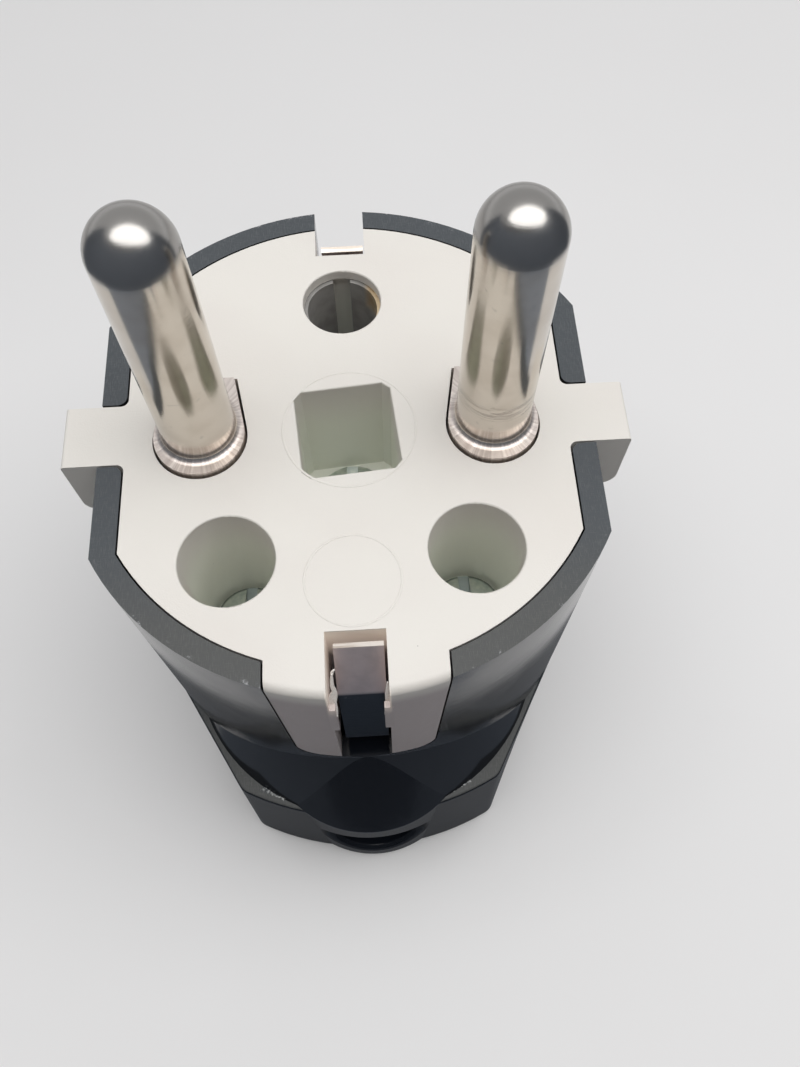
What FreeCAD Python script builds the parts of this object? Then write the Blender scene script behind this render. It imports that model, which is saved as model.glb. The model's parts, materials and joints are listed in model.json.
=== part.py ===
import FreeCAD, Part
import math
import os

# Rewirable right-angle mains plug with two round pins and an earth clip on each side.
# Millimetres. The back rests on Z = 0, the pins point up, and the cord leaves along -Y.
# The origin is on the plug's axis, in the plane of the back.

V = FreeCAD.Vector

# Body, seen from the pin side: a circle with two flats. The flats lie just outside the heads
# of the pins, and the round sides stand out past the flats by flat_depth.
body_height = 40.0
pin_spacing = 19.0
head_width = 6.0
head_clearance = 0.18
arc_wall = 1.5
flat_wall = 1.6
insert_wall = 1.6
fit_gap = 0.12
flat_half_width = (pin_spacing + head_width) / 2 + head_clearance + insert_wall + fit_gap + flat_wall
flat_depth = 2.2
body_radius = flat_half_width + flat_depth
floor_thickness = 2.2
mouth_edge_radius = 0.12
base_edge_radius = 0.9
weld_overlap = 0.2

# Lower front of the cover. A wide base ends in a narrow ledge. Above the ledge the round
# wall swells towards it, and below it a round nose holds the cord's outlet. A size that ends
# in inset is measured inwards from the body's outline, and one that ends in reach outwards.
shoulder_height = 0.2 * body_height
key_sill = 0.5
base_corner_inset = 5.7
base_corner_reach = 0.5
base_corner_radius = 1.4
base_front_reach = 3.1
base_flare = 0.5
base_wall = 2.0
swell_axis_y = 7.2
swell_inset = 4.0
nose_inset = 4.2
nose_radius = 8.5
ledge_edge_radius = 0.3
outlet_radius = 4.25
outlet_height = 0.2 * body_height
outlet_edge_radius = 0.5

base_corner_x = flat_half_width - base_corner_inset
base_corner_y = body_radius + base_corner_reach
base_front_y = body_radius + base_front_reach
swell_radius = body_radius - swell_inset
nose_axis_y = body_radius - nose_inset
nose_front_y = nose_axis_y + nose_radius

# Pins.
pin_radius = 2.4
pin_length = 19.0
root_fillet = 0.45
collar_radius = 2.92
collar_shift = 0.46
collar_back_y = 3.8
collar_back_half_width = 2.18
collar_height = 0.4
collar_gap = 0.15
neck_pin_radius = 2.1
head_play = 0.1
head_corner_radius = 0.6

# White face insert.
face_thickness = 2.6
tower_wall = 1.3
carrier_depth = 0.35 * body_height
skirt_reach = 2.0
skirt_depth = carrier_depth + skirt_reach
rib_thickness = 1.2
key_top_half_width = 5.4
key_bottom_half_width = 4.9
key_corner_radius = 1.5
key_edge_radius = 0.6
corner_radius = 0.5
tab_overhang = 2.35
tab_half_width = 2.2
tab_height = 6.0
tab_corner_radius = 1.2
tab_edge_radius = 0.25
well_radius = 3.0
well_to_pin = 1.85
well_inset = 8.95
well_floor = 2.0
well_x = pin_spacing / 2 - well_to_pin
well_y = well_inset - body_radius
well_depth = carrier_depth - well_floor
square_well_width = 6.4
square_well_length = 6.5
square_well_y = -0.4
square_well_turn = 5.0
square_well_chamfer = 0.5
square_well_floor = 3.4
square_well_depth = carrier_depth - square_well_floor

# Earth strap with its two outer clips.
strap_thickness = 0.4
strap_half_width = 3.5
strap_step_inset = 6.2
strap_ring_margin = 0.4
strap_root_overlap = 0.5
clip_half_width = 1.5
clip_shift = 0.15
clip_top_below_face = 0.3
clip_top_inset = 3.25
clip_knee_inset = 1.5
clip_knee_depth = 4.0
clip_foot_inset = 1.0
clip_bend_radius = 1.0
notch_half_width = 1.825
notch_back_inset = 4.05
rear_notch_half_width = 1.75
lip_reach = 0.35
lip_thickness = 0.4
lip_top_depth = 3.0
lip_length = 5.0

strap_step_y = body_radius - strap_step_inset
clip_top_y = body_radius - clip_top_inset
clip_knee_y = body_radius - clip_knee_inset
clip_foot_y = body_radius - clip_foot_inset
notch_back_y = body_radius - notch_back_inset

# Earth socket tube.
socket_inset = 8.2
socket_y = body_radius - socket_inset
socket_radius = 2.45
socket_wall = 0.6
socket_hole_radius = 2.7
socket_lip = 0.8
socket_lip_gap = 0.1
socket_tail = 5.5
socket_collar_radius = 4.2
socket_collar_height = 0.8
socket_swage_radius = 3.8
socket_swage_height = 0.4
socket_slit = 1.2
socket_slit_start = 2.0
socket_gap = 0.12

# Screws, nuts and washers.
screw_radius = 1.5
screw_head_radius = 2.6
screw_head_height = 1.9
screw_dome_share = 0.45
screw_dome_mid = (0.62, 0.72)
screw_slot_width = 0.8
screw_slot_depth = 0.9
screw_tip_chamfer = 0.4
screw_play = 0.15
thread_play = 0.03
washer_thickness = 0.8
washer_width = 5.6
washer_corner_radius = 0.5
nut_width = 5.5
nut_height = 2.4
nut_corner_radius = 0.3
nut_roof = 2.0
cover_screw_length = 11.0
centre_screw_margin = 0.6
earth_screw_margin = 0.2
terminal_roof = 1.4
bush_radius = 2.2
bush_height = 7.0
bush_play = 0.05

# Plate that locks the pins under the insert.
retainer_thickness = 1.4
retainer_margin = 0.8
retainer_play = 0.1
plate_corner_radius = 1.0

# Earth terminal lug.
lug_x = 7.0
lug_clearance = 1.45
lug_y = collar_back_y + lug_clearance + nut_width / 2
lug_half_width = 3.0
nut_play = 0.15

# Cord clamp on the cover's floor.
pillar_radius = 3.3
clamp_x = 7.2
clamp_to_well = 6.75
clamp_y = well_y + clamp_to_well
clamp_boss_radius = 2.4
clamp_seat_rise = 1.5
clamp_seat_height = outlet_height + clamp_seat_rise
clamp_bar_half_length = 3.0
clamp_bar_end = 2.0
clamp_arch_wall = 1.2
clamp_arch_play = 0.1
clamp_hole_floor = 0.5
clamp_screw_length = 7.0
cord_radius = 3.9
cradle_thickness = 1.5
cradle_margin = 0.5
cradle_drop = 1.0
wiring_gap = 1.5

# Levels that follow from the sizes above.
face_z = body_height
carrier_z = face_z - carrier_depth
skirt_z = face_z - skirt_depth
ledge_z = skirt_z - shoulder_height
well_floor_z = face_z - well_depth
square_floor_z = face_z - square_well_depth
under_face_z = face_z - face_thickness
strap_z = carrier_z - strap_thickness
retainer_z = carrier_z - retainer_thickness
head_top_z = retainer_z - head_play
clamp_top_z = clamp_seat_height + clamp_bar_end + screw_head_height
head_bottom_z = clamp_top_z + wiring_gap + screw_head_height + washer_thickness
terminal_thread_depth = head_top_z - head_bottom_z - terminal_roof
earth_screw_length = washer_thickness + strap_thickness + nut_height - earth_screw_margin
cavity_radius = body_radius - arc_wall
cavity_half_width = flat_half_width - flat_wall
insert_radius = cavity_radius - fit_gap
insert_half_width = cavity_half_width - fit_gap
pin_x = pin_spacing / 2
tab_reach = flat_half_width + tab_overhang
socket_outer_radius = socket_radius + socket_wall
flat_y = math.sqrt(body_radius ** 2 - flat_half_width ** 2)


def box(x0, x1, y0, y1, z0, z1):
    return Part.makeBox(x1 - x0, y1 - y0, z1 - z0, V(x0, y0, z0))


def cylinder(radius, x, y, z0, z1):
    return Part.makeCylinder(radius, z1 - z0, V(x, y, z0))


def cord_bore(radius, y0, y1):
    """Cylinder on the cord's axis."""
    return Part.makeCylinder(radius, y1 - y0, V(0, y0, outlet_height), V(0, 1, 0))


def join(first, *others):
    """One solid from touching shapes, with the seams between them removed."""
    return first.fuse(list(others)).removeSplitter()


def prism(wire, height):
    return Part.Face(wire).extrude(V(0, 0, height))


def arc(start, middle, end):
    return Part.Arc(start, middle, end).toShape()


def line(start, end):
    return Part.LineSegment(start, end).toShape()


def flatted_disc(radius, half_width, z0, z1):
    """A round body cut by two flats that face +X and -X."""
    disc = cylinder(radius, 0, 0, z0, z1)
    return disc.common(box(-half_width, half_width, -radius, radius, z0, z1))


def edges_where(shape, test):
    return [edge for edge in shape.Edges if test(edge)]


def is_vertical(edge):
    ends = [vertex.Point for vertex in edge.Vertexes]
    return len(ends) == 2 and abs(ends[0].x - ends[1].x) < 1e-4 and abs(ends[0].y - ends[1].y) < 1e-4


def is_level(edge, z):
    bounds = edge.BoundBox
    return abs(bounds.ZMin - z) < 1e-4 and abs(bounds.ZMax - z) < 1e-4


def slotted_screw(x, y, seat_z, length, up):
    """A domed, slotted screw whose head sits on seat_z. up is +1 where the head is on top."""
    dome = screw_head_height * screw_dome_share
    rise = screw_head_height - dome
    sweep_x = screw_head_radius * screw_dome_mid[0]
    sweep_z = rise + dome * screw_dome_mid[1]
    tip_radius = screw_radius - screw_tip_chamfer
    profile = Part.Wire([
        line(V(0, 0, -length), V(tip_radius, 0, -length)),
        line(V(tip_radius, 0, -length), V(screw_radius, 0, screw_tip_chamfer - length)),
        line(V(screw_radius, 0, screw_tip_chamfer - length), V(screw_radius, 0, 0)),
        line(V(screw_radius, 0, 0), V(screw_head_radius, 0, 0)),
        line(V(screw_head_radius, 0, 0), V(screw_head_radius, 0, rise)),
        arc(V(screw_head_radius, 0, rise), V(sweep_x, 0, sweep_z), V(0, 0, screw_head_height)),
        line(V(0, 0, screw_head_height), V(0, 0, -length)),
    ])
    screw = Part.Face(profile).revolve(V(0, 0, 0), V(0, 0, 1), 360)
    half_slot = screw_slot_width / 2
    slot = box(-half_slot, half_slot, -screw_head_radius - 1, screw_head_radius + 1,
               screw_head_height - screw_slot_depth, screw_head_height + 1)
    screw = screw.cut(slot)
    if up < 0:
        screw.rotate(V(0, 0, 0), V(1, 0, 0), 180)
    screw.translate(V(x, y, seat_z))
    return screw


def base_wire(grow, z):
    """Plan of the cover's base at one height: flats, slanted sides and a bowed front."""
    corner_x = base_corner_x + grow
    corner_y = base_corner_y + grow
    back_right = V(flat_half_width, 0, z)
    front_right = V(flat_half_width, -flat_y, z)
    corner_right = V(corner_x, -corner_y, z)
    corner_left = V(-corner_x, -corner_y, z)
    front_left = V(-flat_half_width, -flat_y, z)
    back_left = V(-flat_half_width, 0, z)
    return Part.Wire([
        line(back_right, front_right),
        line(front_right, corner_right),
        arc(corner_right, V(0, -base_front_y - grow, z), corner_left),
        line(corner_left, front_left),
        line(front_left, back_left),
        line(back_left, back_right),
    ])


def bulge(radius, axis_y):
    """Round bulge that leans out of the wall from just under the key down to the ledge."""
    lean = (radius + axis_y - body_radius) / (shoulder_height - key_sill)
    return Part.makeCone(radius, radius - lean * shoulder_height, shoulder_height, V(0, -axis_y, ledge_z))


def key_outline(extra):
    """Tapered outline of the front key in the XZ plane, with rounded lower corners."""
    top = key_top_half_width + extra
    bottom = key_bottom_half_width + extra
    low = skirt_z - extra
    points = [V(-top, 0, face_z), V(top, 0, face_z), V(bottom, 0, low), V(-bottom, 0, low)]
    block = Part.Face(Part.makePolygon(points + points[:1])).extrude(V(0, -body_radius, 0))
    corners = edges_where(block, lambda edge: abs(edge.BoundBox.ZMax - low) < 1e-4
                          and edge.BoundBox.YLength > body_radius / 2)
    return block.makeFillet(key_corner_radius, corners)


def tab_block(side, extra):
    """Side tab of the insert, or its slot in the rim when extra is a gap."""
    half = tab_half_width + extra
    low = face_z - tab_height - extra
    start = insert_half_width - insert_wall
    block = box(start, tab_reach + extra, -half, half, low, face_z)
    corner = edges_where(block, lambda edge: abs(edge.BoundBox.XMin - tab_reach - extra) < 1e-4
                         and is_level(edge, low))
    block = block.makeFillet(tab_corner_radius, corner)
    if extra == 0:
        rim = edges_where(block, lambda edge: is_level(edge, face_z)
                          and edge.BoundBox.XMin > tab_reach - 0.01)
        block = block.makeFillet(tab_edge_radius, rim)
    return block if side > 0 else block.mirror(V(0, 0, 0), V(1, 0, 0))


def clip_channel(front, half, z0, z1):
    """Open groove for one earth clip, from its back wall out past the cover."""
    if front:
        return box(-half, half, -body_radius - 1, -notch_back_y, z0, z1)
    return box(-half, half, notch_back_y, body_radius + 1, z0, z1)


def make_cover():
    body = flatted_disc(body_radius, flat_half_width, 0, face_z)
    base = Part.makeLoft([base_wire(base_flare, 0), base_wire(0, ledge_z)], True, True)
    round_corners = edges_where(base, lambda edge: edge.BoundBox.ZLength > ledge_z / 2
                                and edge.BoundBox.YMax < -flat_y - 1)
    base = base.makeFillet(base_corner_radius, round_corners)
    nose = cylinder(nose_radius, 0, -nose_axis_y, 0, ledge_z)
    lower = join(base, nose)
    lower = lower.makeFillet(ledge_edge_radius, edges_where(lower, lambda edge: is_level(edge, ledge_z)
                                                            and edge.BoundBox.YMax < -flat_y + 0.01))
    cover = join(body, lower, bulge(swell_radius, swell_axis_y), bulge(nose_radius, nose_axis_y))
    foot = edges_where(cover, lambda edge: is_level(edge, 0))
    cover = cover.makeFillet(base_edge_radius, foot)
    cover = cover.cut(flatted_disc(cavity_radius, cavity_half_width, floor_thickness, face_z))
    cover = cover.cut(base_cavity())
    cover = cover.cut(cord_bore(outlet_radius, -nose_front_y - 1, -nose_axis_y))
    mouth = edges_where(cover, lambda edge: edge.BoundBox.YMin < 0.01 - nose_front_y
                        and abs(edge.BoundBox.XLength - 2 * outlet_radius) < 1e-3)
    cover = cover.makeFillet(outlet_edge_radius, mouth)
    window = key_outline(fit_gap)
    cover = cover.cut(window.cut(cylinder(cavity_radius - 1, 0, 0, skirt_z - 1, face_z)))
    for side in (-1, 1):
        cover = cover.cut(tab_block(side, fit_gap))
    cover = cover.cut(clip_channel(False, rear_notch_half_width, skirt_z, face_z))
    slot_corners = edges_where(cover, lambda edge: is_vertical(edge)
                               and abs(abs(edge.Vertexes[0].X) - cavity_half_width) < 1e-3
                               and abs(abs(edge.Vertexes[0].Y) - tab_half_width - fit_gap) < 1e-3)
    cover = cover.makeFillet(corner_radius + fit_gap, slot_corners)

    root_z = floor_thickness / 2
    deep = carrier_z - cover_screw_length
    posts = []
    for side in (-1, 1):
        posts.append(cylinder(pillar_radius, side * well_x, well_y, root_z, carrier_z))
        posts.append(cylinder(clamp_boss_radius, side * clamp_x, clamp_y, root_z, clamp_seat_height))
    half_cradle = cord_radius + cradle_margin
    cradle = box(-half_cradle, half_cradle, clamp_y - cradle_thickness / 2, clamp_y + cradle_thickness / 2,
                 root_z, outlet_height - cradle_drop)
    cradle = cradle.cut(cord_bore(cord_radius, clamp_y - cradle_thickness, clamp_y + cradle_thickness))
    cover = join(cover, *posts, cradle)
    bush_low = carrier_z - bush_height
    for side in (-1, 1):
        cover = cover.cut(cylinder(bush_radius + bush_play, side * well_x, well_y, bush_low, carrier_z))
        cover = cover.cut(cylinder(screw_radius + screw_play, side * well_x, well_y, deep, carrier_z))
        cover = cover.cut(cylinder(screw_radius + thread_play, side * clamp_x, clamp_y,
                                   floor_thickness + clamp_hole_floor, clamp_seat_height))
    return cover


def base_cavity():
    """Hollow of the base in front of the round cavity, one wall inside the base's outline."""
    outline = Part.Face(base_wire(0, floor_thickness)).makeOffset2D(-base_wall)
    hollow = outline.extrude(V(0, 0, ledge_z - base_wall - floor_thickness))
    return hollow.common(box(-cavity_half_width, cavity_half_width, -base_front_y, -flat_y, 0, ledge_z))


def collar_wire(grow, z):
    """Shield-shaped section of the pin's collar: a round front and two tapering sides."""
    radius = collar_radius + grow
    half = collar_back_half_width + grow
    back = collar_back_y + grow
    reach = math.hypot(half, back + collar_shift)
    angle = math.atan2(back + collar_shift, half) - math.acos(radius / reach)
    touch_x = radius * math.cos(angle)
    touch_y = radius * math.sin(angle) - collar_shift
    return Part.Wire([
        arc(V(touch_x, touch_y, z), V(0, -radius - collar_shift, z), V(-touch_x, touch_y, z)),
        line(V(-touch_x, touch_y, z), V(-half, back, z)),
        line(V(-half, back, z), V(half, back, z)),
        line(V(half, back, z), V(touch_x, touch_y, z)),
    ])


def make_pin(x):
    root_z = face_z + collar_height
    tip_z = face_z + pin_length
    bend = root_fillet * (1 - math.sqrt(0.5))
    slope = pin_radius * math.sqrt(0.5)
    profile = Part.Wire([
        line(V(0, 0, carrier_z), V(pin_radius - weld_overlap, 0, carrier_z)),
        line(V(pin_radius - weld_overlap, 0, carrier_z), V(pin_radius - weld_overlap, 0, root_z)),
        line(V(pin_radius - weld_overlap, 0, root_z), V(pin_radius + root_fillet, 0, root_z)),
        arc(V(pin_radius + root_fillet, 0, root_z), V(pin_radius + bend, 0, root_z + bend),
            V(pin_radius, 0, root_z + root_fillet)),
        line(V(pin_radius, 0, root_z + root_fillet), V(pin_radius, 0, tip_z - pin_radius)),
        arc(V(pin_radius, 0, tip_z - pin_radius), V(slope, 0, tip_z - pin_radius + slope), V(0, 0, tip_z)),
        line(V(0, 0, tip_z), V(0, 0, carrier_z)),
    ])
    shank = Part.Face(profile).revolve(V(0, 0, 0), V(0, 0, 1), 360)
    collar = prism(collar_wire(0, carrier_z), root_z - carrier_z)
    neck = cylinder(neck_pin_radius, 0, 0, head_top_z, carrier_z)
    half = head_width / 2
    head = box(-half, half, -half, half, head_bottom_z, head_top_z)
    head = head.makeFillet(head_corner_radius, edges_where(head, is_vertical))
    pin = join(shank, collar, neck, head)
    thread_top = head_bottom_z + terminal_thread_depth
    pin = pin.cut(cylinder(screw_radius + thread_play, 0, 0, head_bottom_z, thread_top))
    pin.translate(V(x, 0, 0))
    return pin


def make_insert():
    shell = flatted_disc(insert_radius, insert_half_width, skirt_z, face_z)
    key = key_outline(0).common(cylinder(body_radius, 0, 0, skirt_z, face_z))
    key = key.cut(cylinder(insert_radius - insert_wall / 2, 0, 0, skirt_z - 1, face_z + 1))
    body = join(shell, key, tab_block(-1, 0), tab_block(1, 0))
    inner_corners = edges_where(body, lambda edge: is_vertical(edge)
                                and abs(abs(edge.Vertexes[0].X) - insert_half_width) < 1e-3
                                and abs(abs(edge.Vertexes[0].Y) - tab_half_width) < 1e-3)
    body = body.makeFillet(corner_radius, inner_corners)
    key_front = edges_where(body, lambda edge: is_level(edge, face_z)
                            and edge.BoundBox.YMax < -body_radius * 0.9)
    body = body.makeFillet(key_edge_radius, key_front)

    core = flatted_disc(insert_radius - insert_wall, insert_half_width - insert_wall, skirt_z, under_face_z)
    towers = []
    half = collar_radius + tower_wall
    for side in (-1, 1):
        towers.append(box(side * pin_x - half, side * pin_x + half, -half - collar_shift,
                          collar_back_y + tower_wall, carrier_z, under_face_z))
        towers.append(cylinder(well_radius + tower_wall, side * well_x, well_y, carrier_z, under_face_z))
    half_square = square_well_length / 2 + tower_wall
    towers.append(box(-half_square, half_square, square_well_y - half_square, square_well_y + half_square,
                      carrier_z, under_face_z))
    towers.append(cylinder(socket_collar_radius + tower_wall / 2, 0, socket_y, carrier_z, under_face_z))
    lug_half = lug_half_width + tower_wall / 2
    towers.append(box(lug_x - lug_half, lug_x + lug_half, lug_y - lug_half, lug_y + lug_half,
                      carrier_z, carrier_z + nut_height + nut_roof))
    channel_half = notch_half_width + tower_wall
    channel_y = notch_back_y - tower_wall
    for low_y, high_y in ((-insert_radius, -channel_y), (channel_y, insert_radius)):
        towers.append(box(-channel_half, channel_half, low_y, high_y, carrier_z, under_face_z))
    half_rib = rib_thickness / 2
    towers.append(box(-half_rib, half_rib, -insert_radius, insert_radius, carrier_z, under_face_z))
    for rib_y in (well_y, 0, lug_y):
        towers.append(box(-insert_half_width, insert_half_width, rib_y - half_rib, rib_y + half_rib,
                          carrier_z, under_face_z))
    for tower in towers:
        core = core.cut(tower)
    insert = body.cut(core)

    for side in (-1, 1):
        aperture = prism(collar_wire(collar_gap, carrier_z - 1), carrier_depth + 2)
        aperture.translate(V(side * pin_x, 0, 0))
        insert = insert.cut(aperture)
        x = side * well_x
        insert = insert.cut(cylinder(well_radius, x, well_y, well_floor_z, face_z))
        insert = insert.cut(cylinder(screw_radius + screw_play, x, well_y, carrier_z, well_floor_z))
        insert = insert.cut(cylinder(pillar_radius + fit_gap, x, well_y, skirt_z, carrier_z))
    insert = insert.cut(square_well())
    insert = insert.cut(cylinder(screw_radius + screw_play, 0, square_well_y, carrier_z, square_floor_z))
    insert = insert.cut(cylinder(socket_hole_radius, 0, socket_y, carrier_z, face_z))
    sleeve_radius = socket_outer_radius + socket_gap
    insert = insert.cut(cylinder(sleeve_radius, 0, socket_y, carrier_z, face_z - socket_lip))
    insert = insert.cut(cylinder(socket_collar_radius + socket_gap, 0, socket_y,
                                 carrier_z, carrier_z + socket_collar_height + socket_gap))
    nut_half = nut_width / 2 + nut_play
    insert = insert.cut(box(lug_x - nut_half, lug_x + nut_half, lug_y - nut_half, lug_y + nut_half,
                            carrier_z, carrier_z + nut_height + nut_play))
    insert = insert.cut(clip_channel(True, notch_half_width, skirt_z, face_z))
    insert = insert.cut(clip_channel(False, rear_notch_half_width, skirt_z, face_z))
    mouths = edges_where(insert, lambda edge: is_level(edge, face_z) and is_mouth(edge))
    insert = insert.makeFillet(mouth_edge_radius, mouths)
    return join(insert, *clip_lips())


def is_mouth(edge):
    """True for the top edges of the wells, the square well and the earth hole."""
    centre = edge.BoundBox.Center
    if abs(centre.x) < square_well_width and abs(centre.y - square_well_y) < square_well_length:
        return True
    if math.hypot(centre.x, centre.y - socket_y) < 0.01:
        return True
    return math.hypot(abs(centre.x) - well_x, centre.y - well_y) < 0.01


def square_well():
    """Square screw well with chamfered corners, turned a little about its own axis."""
    half_x = square_well_width / 2
    half_y = square_well_length / 2
    well = box(-half_x, half_x, -half_y, half_y, square_floor_z, face_z)
    well = well.makeChamfer(square_well_chamfer, edges_where(well, is_vertical))
    well.rotate(V(0, 0, 0), V(0, 0, 1), square_well_turn)
    well.translate(V(0, square_well_y, 0))
    return well


def clip_lips():
    """Two slim lips that keep the front clip from springing out of its groove."""
    lips = []
    top = face_z - lip_top_depth
    outer = math.sqrt(body_radius ** 2 - notch_half_width ** 2)
    for side in (-1, 1):
        inner_x = notch_half_width - lip_reach
        low_x, high_x = sorted((side * inner_x, side * (notch_half_width + weld_overlap)))
        lips.append(box(low_x, high_x, -outer, lip_thickness - outer, top - lip_length, top))
    return lips


def make_clip(side):
    """One clip of the earth strap: sheet that slants out from its top edge, drops and turns in."""
    half = strap_thickness / 2
    mid_z = carrier_z - half
    top = V(0, clip_top_y, face_z - clip_top_below_face)
    knee = V(0, clip_knee_y, face_z - clip_knee_depth)
    foot = V(0, clip_foot_y, mid_z + clip_bend_radius)
    slant = (knee - top).normalize()
    across_top = V(0, -slant.z, slant.y)
    drop = (foot - knee).normalize()
    across_knee = (across_top + V(0, -drop.z, drop.y)).normalize()
    centre = V(0, clip_foot_y - clip_bend_radius, mid_z + clip_bend_radius)
    diagonal = V(0, math.sqrt(0.5), -math.sqrt(0.5))

    root_y = strap_step_y - strap_root_overlap

    def face_points(offset):
        radius = clip_bend_radius + offset
        return [top + across_top * offset, knee + across_knee * offset, foot + V(0, offset, 0),
                centre + diagonal * radius, centre - V(0, 0, radius), V(0, root_y, mid_z - offset)]

    outer = face_points(half)
    inner = face_points(-half)
    edges = [line(outer[5], inner[5]), line(inner[0], outer[0])]
    for points in (outer, inner):
        edges.append(line(points[0], points[1]))
        edges.append(line(points[1], points[2]))
        edges.append(arc(points[2], points[3], points[4]))
        edges.append(line(points[4], points[5]))
    outline = Part.Wire(Part.__sortEdges__(edges))
    sheet = Part.Face(outline).extrude(V(clip_half_width * 2, 0, 0))
    sheet.translate(V(clip_shift - clip_half_width, 0, 0))
    return sheet if side > 0 else sheet.mirror(V(0, 0, 0), V(0, 1, 0))


def make_strap():
    strap = box(-strap_half_width, strap_half_width, -strap_step_y, strap_step_y, strap_z, carrier_z)
    ring = cylinder(socket_collar_radius + strap_ring_margin, 0, socket_y, strap_z, carrier_z)
    lug = box(0, lug_x + lug_half_width, lug_y - lug_half_width, lug_y + lug_half_width, strap_z, carrier_z)
    outer_edges = edges_where(lug, lambda edge: is_vertical(edge) and edge.Vertexes[0].X > lug_x)
    lug = lug.makeFillet(plate_corner_radius, outer_edges)
    strap = join(strap, ring, lug, make_clip(-1), make_clip(1))
    strap = strap.cut(cylinder(socket_outer_radius + thread_play, 0, socket_y, strap_z, carrier_z))
    strap = strap.cut(cylinder(screw_radius + screw_play, 0, square_well_y, strap_z, carrier_z))
    return strap.cut(cylinder(screw_radius + screw_play, lug_x, lug_y, strap_z, carrier_z))


def make_socket():
    """Split brass tube for the earth pin of the wall outlet, with a collar and a swaged foot."""
    top = face_z - socket_lip - socket_lip_gap
    low = strap_z - socket_tail
    tube = cylinder(socket_outer_radius, 0, socket_y, low, top)
    collar = cylinder(socket_collar_radius, 0, socket_y, carrier_z, carrier_z + socket_collar_height)
    swage = cylinder(socket_swage_radius, 0, socket_y, strap_z - socket_swage_height, strap_z)
    socket = join(tube, collar, swage)
    socket = socket.cut(cylinder(socket_radius, 0, socket_y, low, top))
    half = socket_slit / 2
    slit_low = carrier_z + socket_collar_height + socket_slit_start
    reach = socket_collar_radius
    return socket.cut(box(-half, half, socket_y - reach, socket_y + reach, slit_low, top))


def make_retainer():
    """Plate under the insert: it hooks round both pin necks and carries the strap in a groove."""
    half_x = insert_half_width - insert_wall - retainer_play
    half_y = head_width / 2 + retainer_margin
    plate = box(-half_x, half_x, -half_y, half_y, retainer_z, carrier_z)
    plate = plate.makeFillet(plate_corner_radius, edges_where(plate, is_vertical))
    groove_half = strap_half_width + retainer_play
    plate = plate.cut(box(-groove_half, groove_half, -half_y, half_y, strap_z, carrier_z))
    slot_half = neck_pin_radius + retainer_play
    for x in (-pin_x, pin_x):
        plate = plate.cut(cylinder(slot_half, x, 0, retainer_z, carrier_z))
        plate = plate.cut(box(x - slot_half, x + slot_half, 0, half_y, retainer_z, carrier_z))
    return plate.cut(cylinder(screw_radius + screw_play, 0, square_well_y, retainer_z, carrier_z))


def square_nut(x, y, low_z):
    half = nut_width / 2
    nut = box(x - half, x + half, y - half, y + half, low_z, low_z + nut_height)
    nut = nut.makeFillet(nut_corner_radius, edges_where(nut, is_vertical))
    return nut.cut(cylinder(screw_radius + thread_play, x, y, low_z, low_z + nut_height))


def clamp_washer(x, y, top_z):
    """Square washer that presses the wire's strands against its terminal."""
    half = washer_width / 2
    washer = box(x - half, x + half, y - half, y + half, top_z - washer_thickness, top_z)
    washer = washer.makeFillet(washer_corner_radius, edges_where(washer, is_vertical))
    return washer.cut(cylinder(screw_radius + screw_play, x, y, top_z - washer_thickness, top_z))


def make_bush(side):
    low = carrier_z - bush_height
    bush = cylinder(bush_radius, side * well_x, well_y, low, carrier_z)
    return bush.cut(cylinder(screw_radius + thread_play, side * well_x, well_y, low, carrier_z))


def make_clamp_bar():
    """Bridge over the cord, with an arch that grips it and a flat foot at each end."""
    end_x = clamp_x + clamp_boss_radius
    low = clamp_seat_height
    arch_radius = cord_radius + clamp_arch_play
    crown = outlet_height + arch_radius + clamp_arch_wall
    y0 = clamp_y - clamp_bar_half_length
    y1 = clamp_y + clamp_bar_half_length
    feet = box(-end_x, end_x, y0, y1, low, low + clamp_bar_end)
    feet = feet.makeFillet(plate_corner_radius, edges_where(feet, is_vertical))
    bridge = cord_bore(arch_radius + clamp_arch_wall, y0, y1)
    bridge = bridge.common(box(-end_x, end_x, y0, y1, low, crown))
    bar = join(feet, bridge)
    bar = bar.cut(cord_bore(arch_radius, y0, y1))
    for side in (-1, 1):
        x = side * clamp_x
        bar = bar.cut(cylinder(screw_radius + screw_play, x, clamp_y, low, low + clamp_bar_end))
    return bar


def build():
    terminal_z = head_bottom_z - washer_thickness
    clamp_z = clamp_seat_height + clamp_bar_end
    centre_length = square_floor_z - retainer_z + nut_height + centre_screw_margin
    nodes = {
        "cover": make_cover(),
        "face_insert": make_insert(),
        "earth_strap": make_strap(),
        "earth_socket": make_socket(),
        "pin_retainer": make_retainer(),
        "centre_screw": slotted_screw(0, square_well_y, square_floor_z, centre_length, 1),
        "centre_nut": square_nut(0, square_well_y, retainer_z - nut_height),
        "earth_nut": square_nut(lug_x, lug_y, carrier_z),
        "earth_washer": clamp_washer(lug_x, lug_y, strap_z),
        "earth_screw": slotted_screw(lug_x, lug_y, strap_z - washer_thickness, earth_screw_length, -1),
        "cord_clamp_bar": make_clamp_bar(),
    }
    for side, pin_name, hand in ((-1, "neutral", "left"), (1, "line", "right")):
        nodes[pin_name + "_pin"] = make_pin(side * pin_x)
        nodes[pin_name + "_washer"] = clamp_washer(side * pin_x, 0, head_bottom_z)
        nodes[pin_name + "_screw"] = slotted_screw(side * pin_x, 0, terminal_z, terminal_thread_depth, -1)
        nodes["cover_bush_" + hand] = make_bush(side)
        nodes["cover_screw_" + hand] = slotted_screw(side * well_x, well_y, well_floor_z,
                                                     cover_screw_length, 1)
        nodes["clamp_screw_" + hand] = slotted_screw(side * clamp_x, clamp_y, clamp_z, clamp_screw_length, 1)
    return nodes


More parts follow.
